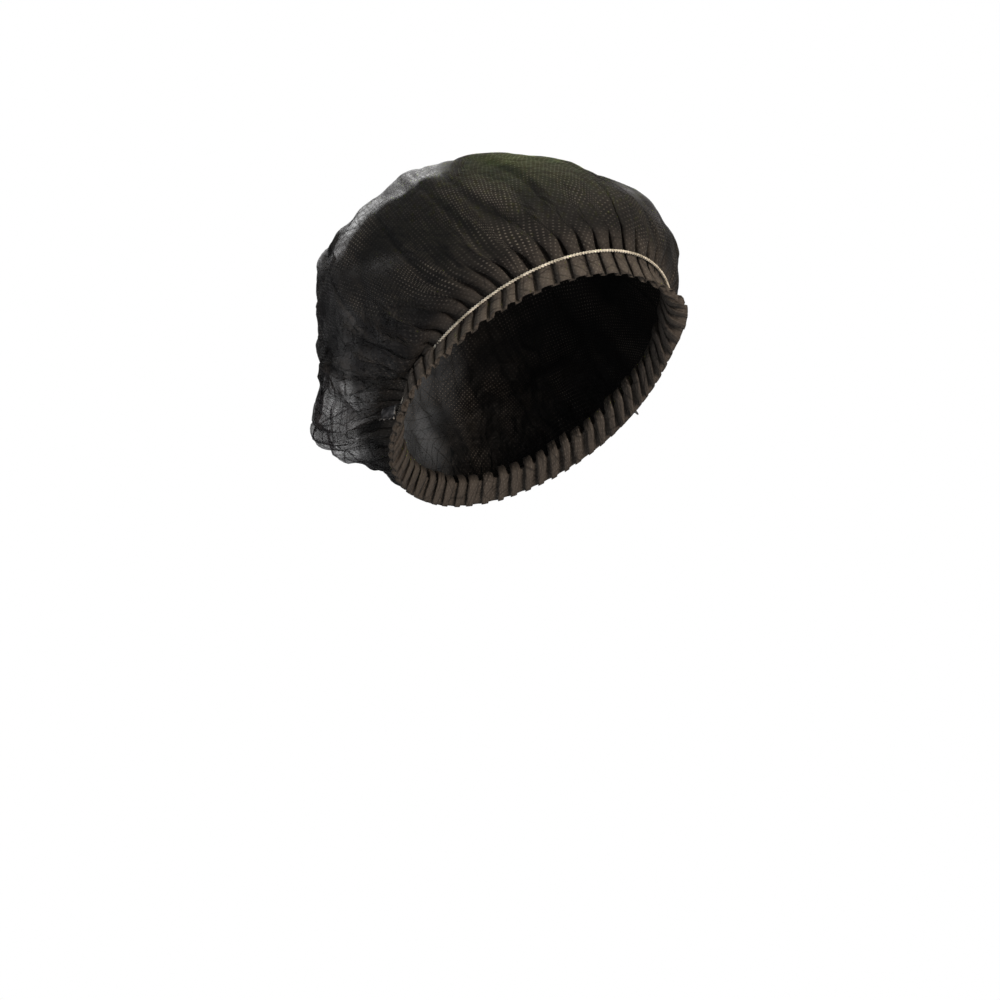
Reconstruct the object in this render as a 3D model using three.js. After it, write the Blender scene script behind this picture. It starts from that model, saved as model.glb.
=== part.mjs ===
// A disposable mob cap of thin black spunbond cloth, in the shape that it has on a head.
// One round sheet is gathered in small box pleats by an elastic cord. The cloth above the cord
// is the baggy crown, and the cloth below it stands as a short frill.
// Millimetres, +Z up. The wearer faces -Y and their left side is +X.
// The origin is the centre of the elastic loop, where the head goes in.
import * as THREE from "three";

// Driving dimensions
const RIM_TILT = THREE.MathUtils.degToRad(40); // the loop runs from the forehead down to the nape
const WALL = 1.2; // thickness of the cloth
const CLEARANCE = 0.3; // gap between pieces that touch
const PLEAT_COUNT = 60; // box pleats round the loop
const PLEAT_SLANT = THREE.MathUtils.degToRad(1.6); // turn of the frill's edge towards the left side
const HELD_WITHIN = 3; // the elastic holds the cloth this far above and below it
const FREE_BEYOND = 12; // from here on the cloth bags freely
const FOLD_RAMP = 12; // a broad fold reaches its depth this far above its foot
const FOLD_FADE = 0.6; // and fades from this share of its height
const SMALL_TURN = 0.01; // radians, for directions along a ring
const ELASTIC = { halfWidth: 78, reach: 104, diameter: 2, sides: 6, steps: 60 };
const TAB = { bearing: 102, width: 9, length: 12, thickness: 1.6, bite: 1.5, bites: 3 };

// A pleat's four corners round the ring, as shares of its pitch, and the side of the cloth's
// middle that each lies on. The inner skin's pleats are drawn in by the wall's thickness.
const OUTER_PLEAT = [
  { at: 0.0, side: 0.5 },
  { at: 0.48, side: 0.5 },
  { at: 0.64, side: -0.5 },
  { at: 0.84, side: -0.5 },
];
const INNER_PLEAT = [
  { at: 0.06, side: 0.5 },
  { at: 0.42, side: 0.5 },
  { at: 0.58, side: -0.5 },
  { at: 0.9, side: -0.5 },
];

// The rings of the sheet, from the frill's free edge to the top of the crown. height is above the
// loop's plane, halfWidth, front and back are a ring's reach from the loop's axis, widest is how far
// behind the axis it is widest, pleat is how deep its pleats are, fold is its share of the broad
// folds, and corners is how many points it has in each pleat.
const RINGS = [
  { height: -10.0, halfWidth: 82.0, widest: 9, front: 97.5, back: 113.0, pleat: 3.4, fold: 0.0, corners: 4 },
  { height: -4.0, halfWidth: 77.5, widest: 4, front: 99.5, back: 105.0, pleat: 3.0, fold: 0.0, corners: 4 },
  { height: 0.0, halfWidth: 75.0, widest: 0, front: 101.0, back: 101.0, pleat: 2.0, fold: 0.0, corners: 4 },
  { height: 5.0, halfWidth: 78.5, widest: 2, front: 105.5, back: 106.0, pleat: 3.2, fold: 0.0, corners: 4 },
  { height: 13.0, halfWidth: 89.0, widest: 6, front: 110.5, back: 116.0, pleat: 3.4, fold: 0.4, corners: 4 },
  { height: 25.0, halfWidth: 96.0, widest: 12, front: 112.5, back: 123.0, pleat: 1.8, fold: 0.8, corners: 4 },
  { height: 33.0, halfWidth: 99.0, widest: 15, front: 112.0, back: 126.0, pleat: 1.5, fold: 0.9, corners: 4 },
  { height: 42.0, halfWidth: 101.5, widest: 17, front: 111.0, back: 128.0, pleat: 1.2, fold: 1.0, corners: 2 },
  { height: 59.0, halfWidth: 103.0, widest: 21, front: 106.0, back: 131.0, pleat: 0.8, fold: 1.0, corners: 2 },
  { height: 77.0, halfWidth: 101.0, widest: 24, front: 98.0, back: 131.0, pleat: 0.0, fold: 1.0, corners: 2 },
  { height: 95.0, halfWidth: 96.0, widest: 25, front: 86.0, back: 127.0, pleat: 0.0, fold: 0.9, corners: 2 },
  { height: 111.0, halfWidth: 87.0, widest: 23, front: 70.0, back: 115.0, pleat: 0.0, fold: 0.7, corners: 2 },
  { height: 125.0, halfWidth: 70.0, widest: 18, front: 51.0, back: 93.0, pleat: 0.0, fold: 0.5, corners: 2 },
  { height: 134.0, halfWidth: 43.0, widest: 12, front: 29.0, back: 58.0, pleat: 0.0, fold: 0.3, corners: 1 },
];
const CROWN_TOP = { height: 138.0, back: 13 };

// Slack cloth that bags out of the crown, or dents it where rise is below zero. bearing is from the
// front, towards the wearer's left, and drop is how far the bag hangs down.
const BAGS = [
  { bearing: -120, height: 30, rise: 22, drop: 6, bearingSpread: 27, heightSpread: 20 },
  { bearing: -116, height: 66, rise: -6, drop: 0, bearingSpread: 26, heightSpread: 11 },
  { bearing: -125, height: 122, rise: 6, drop: 0, bearingSpread: 36, heightSpread: 18 },
  { bearing: 122, height: 26, rise: 17, drop: 6, bearingSpread: 27, heightSpread: 18 },
  { bearing: 112, height: 58, rise: -5, drop: 0, bearingSpread: 26, heightSpread: 12 },
  { bearing: 180, height: 24, rise: 9, drop: 6, bearingSpread: 30, heightSpread: 18 },
  { bearing: -62, height: 46, rise: -6, drop: 0, bearingSpread: 16, heightSpread: 26 },
  { bearing: 50, height: 44, rise: 8, drop: 0, bearingSpread: 24, heightSpread: 26 },
  { bearing: 58, height: -12, rise: 8, drop: 0, bearingSpread: 20, heightSpread: 8 },
];

// Broad folds that run from the pleats up over the crown. lean is how far a fold turns towards the
// wearer's left for each millimetre that it climbs.
const FOLDS = [
  { bearing: -166, low: 10, high: 124, depth: 7.0, spread: 5.5, lean: 0.02 },
  { bearing: -148, low: 8, high: 108, depth: 6.5, spread: 5.0, lean: -0.04 },
  { bearing: -131, low: 8, high: 120, depth: 6.0, spread: 4.5, lean: 0.05 },
  { bearing: -109, low: 6, high: 130, depth: 6.5, spread: 5.0, lean: -0.03 },
  { bearing: -95, low: 10, high: 104, depth: 6.0, spread: 4.5, lean: 0.04 },
  { bearing: -80, low: 6, high: 116, depth: 6.5, spread: 4.5, lean: -0.05 },
  { bearing: -52, low: 8, high: 98, depth: 5.0, spread: 4.5, lean: 0.06 },
  { bearing: -34, low: 10, high: 118, depth: 4.5, spread: 4.5, lean: -0.08 },
  { bearing: -17, low: 8, high: 128, depth: 4.5, spread: 4.5, lean: -0.1 },
  { bearing: 2, low: 10, high: 104, depth: 4.0, spread: 4.5, lean: -0.08 },
  { bearing: 21, low: 8, high: 126, depth: 4.5, spread: 4.5, lean: 0.05 },
  { bearing: 42, low: 10, high: 100, depth: 5.0, spread: 4.5, lean: -0.04 },
  { bearing: 60, low: 6, high: 120, depth: 5.5, spread: 4.5, lean: 0.05 },
  { bearing: 79, low: 8, high: 106, depth: 6.5, spread: 4.5, lean: -0.03 },
  { bearing: 97, low: 6, high: 126, depth: 6.5, spread: 5.0, lean: 0.04 },
  { bearing: 116, low: 8, high: 112, depth: 6.5, spread: 5.0, lean: -0.05 },
  { bearing: 136, low: 8, high: 124, depth: 6.0, spread: 5.0, lean: 0.03 },
  { bearing: 156, low: 10, high: 110, depth: 7.0, spread: 5.5, lean: -0.03 },
];

const clothMaterial = new THREE.MeshStandardMaterial({ color: 0x1d1c1a, roughness: 0.82, metalness: 0 });
const elasticMaterial = new THREE.MeshStandardMaterial({ color: 0xd9d5c6, roughness: 0.75, metalness: 0 });
const weldMaterial = new THREE.MeshStandardMaterial({ color: 0x24242a, roughness: 0.45, metalness: 0 });

// The smaller way round from one bearing to another, in degrees
const turnBetween = (from, to) => THREE.MathUtils.euclideanModulo(to - from + 180, 360) - 180;
const bell = (offset, spread) => Math.exp(-((offset / spread) ** 2));

// A ring's smooth line at a bearing, with the bags but without pleats and folds
function ringPoint(ring, bearing) {
  const across = Math.sin(bearing);
  const ahead = Math.cos(bearing);
  const reach = ahead > 0 ? ring.front + ring.widest : ring.back - ring.widest;
  const point = new THREE.Vector3(ring.halfWidth * across, ring.widest - reach * ahead, ring.height);
  const degrees = THREE.MathUtils.radToDeg(bearing);
  const free = THREE.MathUtils.smoothstep(Math.abs(ring.height), HELD_WITHIN, FREE_BEYOND);
  for (const bag of BAGS) {
    const share = free * bell(turnBetween(bag.bearing, degrees), bag.bearingSpread)
      * bell(ring.height - bag.height, bag.heightSpread);
    point.x += bag.rise * share * across;
    point.y -= bag.rise * share * ahead;
    point.z -= bag.drop * share;
  }
  return point;
}

// The cloth's outward direction on that smooth line, from the rings below and above
function outward(index, bearing) {
  const ring = RINGS[index];
  const around = ringPoint(ring, bearing + SMALL_TURN).sub(ringPoint(ring, bearing - SMALL_TURN));
  const below = ringPoint(RINGS[Math.max(index - 1, 0)], bearing);
  const above = ringPoint(RINGS[Math.min(index + 1, RINGS.length - 1)], bearing);
  return around.cross(above.sub(below)).normalize();
}

// How far the broad folds draw the cloth in at a bearing in degrees and a height
function foldDepth(degrees, height) {
  let depth = 0;
  for (const fold of FOLDS) {
    const rise = THREE.MathUtils.smoothstep(height, fold.low, fold.low + FOLD_RAMP);
    const fade = 1 - THREE.MathUtils.smoothstep(height, FOLD_FADE * fold.high, fold.high);
    const line = fold.bearing + fold.lean * (height - fold.low);
    depth += fold.depth * rise * fade * bell(turnBetween(line, degrees), fold.spread);
  }
  return depth;
}

// The corners of a ring's pleats: all four of a box pleat, or the middles of its faces
function pleatCorners(profile, corners) {
  if (corners === 4) return profile;
  const outer = { at: (profile[0].at + profile[1].at) / 2, side: 0.5 };
  const inner = { at: (profile[2].at + profile[3].at) / 2, side: -0.5 };
  return corners === 2 ? [outer, inner] : [outer];
}

// One ring of one skin of the cloth: the outer skin, or the inner one a wall's thickness inside it
function skinRing(index, profile, inset) {
  const ring = RINGS[index];
  const pitch = (2 * Math.PI) / PLEAT_COUNT;
  const slant = PLEAT_SLANT * Math.max(-ring.height, 0) / -RINGS[0].height;
  const points = [];
  for (let pleat = 0; pleat < PLEAT_COUNT; pleat++) {
    for (const corner of pleatCorners(profile, ring.corners)) {
      const bearing = (pleat + corner.at) * pitch + slant;
      const drawnIn = ring.fold * foldDepth(THREE.MathUtils.radToDeg(bearing), ring.height);
      const offset = corner.side * ring.pleat - drawnIn - inset;
      points.push(ringPoint(ring, bearing).addScaledVector(outward(index, bearing), offset));
    }
  }
  return points;
}

// Triangles between a ring and the next one up, which has as many points or half as many
function zipRings(low, lowStart, high, highStart, triangles) {
  const halves = low.length / high.length;
  for (let i = 0; i < high.length; i++) {
    const next = (i + 1) % high.length;
    if (halves === 1) {
      triangles.push([lowStart + i, lowStart + next, highStart + next]);
      triangles.push([lowStart + i, highStart + next, highStart + i]);
    } else {
      const left = lowStart + 2 * i;
      const middle = left + 1;
      const right = lowStart + 2 * next;
      triangles.push([left, middle, highStart + i]);
      triangles.push([middle, right, highStart + next]);
      triangles.push([middle, highStart + next, highStart + i]);
    }
  }
}

// One skin from the frill's edge to the top of the crown, as points and triangles that face out
function clothSkin(profile, inset) {
  const rings = RINGS.map((ring, index) => skinRing(index, profile, inset));
  const points = rings.flat();
  const triangles = [];
  let start = 0;
  for (let k = 0; k + 1 < rings.length; k++) {
    zipRings(rings[k], start, rings[k + 1], start + rings[k].length, triangles);
    start += rings[k].length;
  }
  const last = rings[rings.length - 1].length;
  const top = points.push(new THREE.Vector3(0, CROWN_TOP.back, CROWN_TOP.height - inset)) - 1;
  for (let i = 0; i < last; i++) triangles.push([start + i, start + ((i + 1) % last), top]);
  return { points, triangles, edge: rings[0].length };
}

function meshFrom(points, triangles, material, name) {
  const geometry = new THREE.BufferGeometry().setFromPoints(points);
  geometry.setIndex(triangles.flat());
  geometry.computeVertexNormals();
  const mesh = new THREE.Mesh(geometry, material);
  mesh.name = name;
  return mesh;
}

// The sheet: crown and frill in one hollow wall, open below for the head
function makeSheet() {
  const outer = clothSkin(OUTER_PLEAT, 0);
  const inner = clothSkin(INNER_PLEAT, WALL);
  const shift = outer.points.length;
  const triangles = [...outer.triangles];
  for (const [a, b, c] of inner.triangles) triangles.push([shift + a, shift + c, shift + b]);
  for (let i = 0; i < outer.edge; i++) {
    const next = (i + 1) % outer.edge;
    triangles.push([shift + i, shift + next, next]);
    triangles.push([shift + i, next, i]);
  }
  return meshFrom([...outer.points, ...inner.points], triangles, clothMaterial, "crown");
}

// The elastic's line: the part of the loop from one bearing to another
class LoopArc extends THREE.Curve {
  constructor(from, to) {
    super();
    this.from = from;
    this.to = to;
  }

  getPoint(share) {
    const bearing = THREE.MathUtils.lerp(this.from, this.to, share);
    return new THREE.Vector3(ELASTIC.halfWidth * Math.sin(bearing), -ELASTIC.reach * Math.cos(bearing), 0);
  }
}

function makeElastic(name, from, to) {
  const section = new THREE.Shape().absarc(0, 0, ELASTIC.diameter / 2, 0, 2 * Math.PI);
  const geometry = new THREE.ExtrudeGeometry(section, {
    steps: ELASTIC.steps,
    curveSegments: ELASTIC.sides / 2, // a full circle takes two points for each
    extrudePath: new LoopArc(from, to),
  });
  const mesh = new THREE.Mesh(geometry, elasticMaterial);
  mesh.name = name;
  return mesh;
}

// A welded end of the sheet: a small pressed flap with a pinked lower edge, outside the frill.
// Its own X runs round the loop and its Y up the cloth, and its top edge lies over the elastic.
function makeTab(name, side) {
  const half = TAB.width / 2;
  const outline = new THREE.Shape().moveTo(half, 0).lineTo(-half, 0);
  for (let k = 0; k <= 2 * TAB.bites; k++) {
    const down = TAB.length - (k % 2 ? TAB.bite : 0);
    outline.lineTo(-half + (TAB.width * k) / (2 * TAB.bites), -down);
  }
  const geometry = new THREE.ExtrudeGeometry(outline, { depth: TAB.thickness, bevelEnabled: false });
  const bearing = THREE.MathUtils.degToRad(side * TAB.bearing);
  const loop = new LoopArc(bearing - SMALL_TURN, bearing + SMALL_TURN);
  const around = loop.getPoint(1).sub(loop.getPoint(0)).normalize();
  const out = around.clone().cross(new THREE.Vector3(0, 0, 1));
  const top = loop.getPoint(0.5).addScaledVector(out, ELASTIC.diameter / 2 + CLEARANCE);
  const edge = ringPoint(RINGS[0], bearing).addScaledVector(out, RINGS[0].pleat / 2 + CLEARANCE);
  const away = around.clone().cross(top.clone().sub(edge)).normalize();
  const mesh = new THREE.Mesh(geometry, weldMaterial);
  mesh.name = name;
  mesh.position.copy(top);
  mesh.setRotationFromMatrix(new THREE.Matrix4().makeBasis(around, away.clone().cross(around), away));
  return mesh;
}

// The whole cap, modelled on its own axis and leant back as it is worn
const cap = new THREE.Group();
cap.name = "mob_cap";
const worn = new THREE.Group();
worn.rotation.x = -RIM_TILT;
const tabTurn = THREE.MathUtils.degToRad(TAB.bearing);
const endGap = CLEARANCE / 2 / ELASTIC.halfWidth; // half the gap between the elastic's lengths, as a turn
worn.add(makeSheet());
worn.add(makeElastic("elastic_front", endGap - tabTurn, tabTurn - endGap));
worn.add(makeElastic("elastic_back", tabTurn + endGap, 2 * Math.PI - tabTurn - endGap));
worn.add(makeTab("end_tab_right", -1));
worn.add(makeTab("end_tab_left", 1));
cap.add(worn);

export default cap;
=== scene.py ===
# Black spunbond mob cap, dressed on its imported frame. Metres, +Z up, the wearer faces -Y.
import math

import bpy
import numpy as np
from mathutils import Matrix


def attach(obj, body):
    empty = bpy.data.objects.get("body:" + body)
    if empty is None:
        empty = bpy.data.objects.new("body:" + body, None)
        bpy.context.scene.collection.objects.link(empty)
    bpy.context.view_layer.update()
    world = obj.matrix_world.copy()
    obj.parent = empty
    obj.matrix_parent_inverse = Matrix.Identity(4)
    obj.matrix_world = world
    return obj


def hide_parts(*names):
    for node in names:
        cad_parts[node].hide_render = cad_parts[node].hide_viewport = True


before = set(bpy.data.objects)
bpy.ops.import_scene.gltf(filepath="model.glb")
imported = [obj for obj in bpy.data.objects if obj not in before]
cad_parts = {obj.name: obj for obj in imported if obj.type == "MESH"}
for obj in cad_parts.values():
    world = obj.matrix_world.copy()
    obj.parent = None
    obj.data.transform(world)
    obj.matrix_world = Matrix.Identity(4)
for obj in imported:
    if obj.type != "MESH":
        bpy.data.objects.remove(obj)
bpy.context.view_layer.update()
bpy.ops.object.select_all(action="DESELECT")
mm = 0.001
fullTurn = 2 * math.pi
print("frame loaded:", ", ".join(sorted(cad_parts)))


# helpers for shapes

repeats = {"ringRows": 40, "planeCells": 64, "facetCells": 97}  # cells after which each noise repeats


def smooth(x, low, high):  # 0 below low, 1 above high, eased between
    t = np.clip((x - low) / (high - low), 0.0, 1.0)
    return t * t * (3.0 - 2.0 * t)


def bell(offset, spread):
    return np.exp(-((offset / spread) ** 2))


def turnBetween(start, end):  # the smaller way round, in degrees
    return (end - start + 180.0) % 360.0 - 180.0


def softSpot(amount, at, up, spreadRound, spreadUp, bearing, height):  # a patch of the cap that fades out
    return amount * bell(turnBetween(at, np.degrees(bearing)), spreadRound) * bell(height - up, spreadUp)


def throughRows(places, rows, at):  # smooth curve through the rows of a table
    slopes = np.gradient(rows, places, axis=0)
    k = np.clip(np.searchsorted(places, at, side="right") - 1, 0, len(places) - 2)
    span = (places[k + 1] - places[k])[..., None]
    t = np.clip((at - places[k])[..., None] / span, 0.0, 1.0)
    start = (1 + 2 * t) * (1 - t) ** 2 * rows[k] + t * (1 - t) ** 2 * span * slopes[k]
    return start + t * t * (3 - 2 * t) * rows[k + 1] - t * t * (1 - t) * span * slopes[k + 1]


def latticeMix(grid, u, v):  # eased mix of the four lattice values round each point, repeating
    i, j = np.floor(u).astype(int), np.floor(v).astype(int)
    s, t = smooth(u - i, 0, 1), smooth(v - j, 0, 1)
    m, n = grid.shape
    low = grid[i % m, j % n] * (1 - s) + grid[(i + 1) % m, j % n] * s
    high = grid[i % m, (j + 1) % n] * (1 - s) + grid[(i + 1) % m, (j + 1) % n] * s
    return low * (1 - t) + high * t


def ringNoise(turn, along, cells, length, seed):  # noise from -1 to 1 that closes round the ring
    grid = np.random.default_rng(seed).uniform(-1, 1, (cells, repeats["ringRows"]))
    return latticeMix(grid, turn / fullTurn * cells, along / length)


def planeNoise(x, y, size, seed):  # noise from -1 to 1 over the flat blank
    grid = np.random.default_rng(seed).uniform(-1, 1, (repeats["planeCells"],) * 2)
    return latticeMix(grid, x / size, y / size)


def creaseGrid(x, y, size):  # slanted coordinates: creases run where a, b or a + b is a whole number
    return x / size - y / (size * math.sqrt(3)), 2 * y / (size * math.sqrt(3))


def facets(a, b, seed):  # flat facets between the creases, -1 to 1
    n = repeats["facetCells"]
    grid = np.random.default_rng(seed).uniform(-1, 1, (n, n))
    i, j = np.floor(a).astype(int), np.floor(b).astype(int)
    lower = (a - i) + (b - j) < 1
    corner = np.where(lower, grid[i % n, j % n], grid[(i + 1) % n, (j + 1) % n])
    besideA = np.where(lower, grid[(i + 1) % n, j % n], grid[i % n, (j + 1) % n])
    besideB = np.where(lower, grid[i % n, (j + 1) % n], grid[(i + 1) % n, j % n])
    shareA, shareB = np.where(lower, a - i, 1 - a + i), np.where(lower, b - j, 1 - b + j)
    return corner + shareA * (besideA - corner) + shareB * (besideB - corner)


# helpers for materials

def linear(hexColour):  # sRGB hex to the linear colour that shaders take
    parts = [int(hexColour[k:k + 2], 16) / 255 for k in (1, 3, 5)]
    return tuple(p / 12.92 if p <= 0.04045 else ((p + 0.055) / 1.055) ** 2.4 for p in parts) + (1.0,)


def put(tree, kind, inputs=None, **settings):  # one node, with its settings and what feeds it
    node = tree.nodes.new("ShaderNode" + kind)
    for name, value in settings.items():
        setattr(node, name, value)
    for name, value in (inputs or {}).items():
        if isinstance(value, bpy.types.Node):
            value = value.outputs[0]
        if isinstance(value, bpy.types.NodeSocket):
            tree.links.new(value, node.inputs[name])
        elif value is not None:
            node.inputs[name].default_value = value
    return node


def newMaterial(name):
    material = bpy.data.materials.new(name)
    material.use_nodes = True
    tree = material.node_tree
    return material, tree, tree.nodes["Principled BSDF"]


# camera

photoCamera = {
    "place": (-0.3733, -0.5756, 0.0026),  # m
    "azimuth": -31.43, "elevation": 6.0,  # degrees
    "focalPixels": 1179.12, "framePixels": 1000,
    "sensor": 36.0,  # mm
}


def makeCamera(cam=photoCamera):
    turn = (math.radians(90 - cam["elevation"]), 0.0, math.radians(cam["azimuth"]))
    bpy.ops.object.camera_add(location=cam["place"], rotation=turn)
    camera = bpy.context.object
    camera.name = "photoCamera"
    camera.data.sensor_width = cam["sensor"]
    camera.data.lens = cam["sensor"] * cam["focalPixels"] / cam["framePixels"]
    bpy.context.scene.camera = camera


makeCamera()
print("camera placed")


# the sheet: one round blank, gathered by the elastic into crown and frill

cap = {
    "tilt": 40.0,  # degrees that the elastic's loop leans back
    "flatRadius": 241.0,  # of the round blank, mm
    "loop": (78.0, 104.0),  # half width and half length of the elastic, mm
    "rowStep": 2.25, "topFan": 5.0,  # mm of cloth between rows of mesh, and in the fan that closes the top
    "halvings": 3,  # how often the rows of mesh drop every other column on the way up
    "thickness": 0.2,  # mm
    "ringSamples": 24, "loopSamples": 2001,  # bearings at which the cloth and the elastic are measured
    "slopeStep": 3.0, "turnStep": 0.01,  # mm and radians to either side, to find the way that the cloth faces
    # height above the loop, half width, where it is widest, front and back reach, mm
    "rings": ((-10, 82, 9, 97.5, 113), (-4, 78.2, 4, 100, 105.8), (0, 75.8, 0, 101.8, 101.8),
              (5, 79.5, 2, 106, 107), (13, 89.5, 6, 111, 116.5), (25, 96.5, 12, 113, 123.5),
              (42, 102, 17, 111.5, 128.5), (59, 103.5, 21, 106.5, 131.5), (77, 101.5, 24, 98.5, 131.5),
              (95, 96.5, 25, 86.5, 127.5), (111, 87.5, 23, 70.5, 115.5), (125, 70.5, 18, 51.5, 93.5),
              (134, 43, 13, 29, 58), (138, 0, 13, -13, 13)),
    # bearing from the front towards the left, height, rise, drop, spread round, spread up
    "bags": ((-120, 30, 19, 6, 27, 20), (-138, 22, -8, 0, 10, 12), (-106, 44, -4, 0, 12, 10),
             (-116, 66, -6, 0, 26, 11), (-106, 94, -8, 0, 16, 19), (-125, 122, 6, 0, 36, 18),
             (-86, 117, 7, 0, 14, 9), (-66, 128, 0.5, 0, 10, 9),
             (-44, 124, 4, -3, 11, 10), (8, 84, -4, 0, 26, 30),
             (122, 26, 17, 6, 27, 18), (112, 58, -5, 0, 26, 12), (180, 24, 9, 6, 30, 18),
             (-62, 46, -6, 0, 16, 26), (50, 44, 5, 0, 24, 26), (44, -12, 10, 0, 16, 8),
             (-82, 9, -2, 9, 11, 5)),  # the last one droops over the elastic beside the right tab
    "heldWithin": 3.0, "freeBeyond": 12.0,  # how near the elastic holds the cloth, mm
}


def leanBack(x, y, z, degrees=cap["tilt"]):  # from the level of the elastic's loop to the way that it is worn
    c, s = math.cos(math.radians(degrees)), math.sin(math.radians(degrees))
    return np.stack([x, y * c + z * s, z * c - y * s], axis=-1)


def ringLine(values, bearing):  # the smooth cap at these ring values and bearings, with its bags
    height, half, widest, front, back = np.moveaxis(values, -1, 0)
    across, ahead = np.sin(bearing), np.cos(bearing)
    reach = np.where(ahead > 0, front + widest, back - widest)
    x, y, z = half * across, widest - reach * ahead, height * np.ones_like(across)
    free = smooth(np.abs(height), cap["heldWithin"], cap["freeBeyond"])
    for at, up, rise, drop, spreadRound, spreadUp in cap["bags"]:
        share = softSpot(free, at, up, spreadRound, spreadUp, bearing, height)
        x, y, z = x + rise * share * across, y - rise * share * ahead, z - drop * share
    return leanBack(x, y, z)


def ringPlaces():  # how far each ring of the table lies along the cloth, from the free edge
    rings, count = np.array(cap["rings"], float), cap["ringSamples"]
    bearing = np.linspace(0, fullTurn, count, endpoint=False)
    lines = np.array([ringLine(np.tile(ring, (count, 1)), bearing) for ring in rings])
    steps = np.linalg.norm(np.diff(lines, axis=0), axis=2).mean(axis=1)
    places = np.concatenate([[0], np.cumsum(steps)])
    return places * cap["flatRadius"] / places[-1], rings


places, rings = ringPlaces()
frillWidth = places[list(rings[:, 0]).index(0)]  # from the free edge to the ring that lies on the elastic


def loopBearings(turn):  # bearings that divide the elastic's length evenly
    fine = np.linspace(0, fullTurn, cap["loopSamples"])
    half, reach = cap["loop"]
    speed = np.hypot(half * np.cos(fine), reach * np.sin(fine))
    run = np.concatenate([[0], np.cumsum((speed[1:] + speed[:-1]) / 2)])
    rest = turn % fullTurn
    return turn - rest + np.interp(rest, run / run[-1] * fullTurn, fine)


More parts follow.
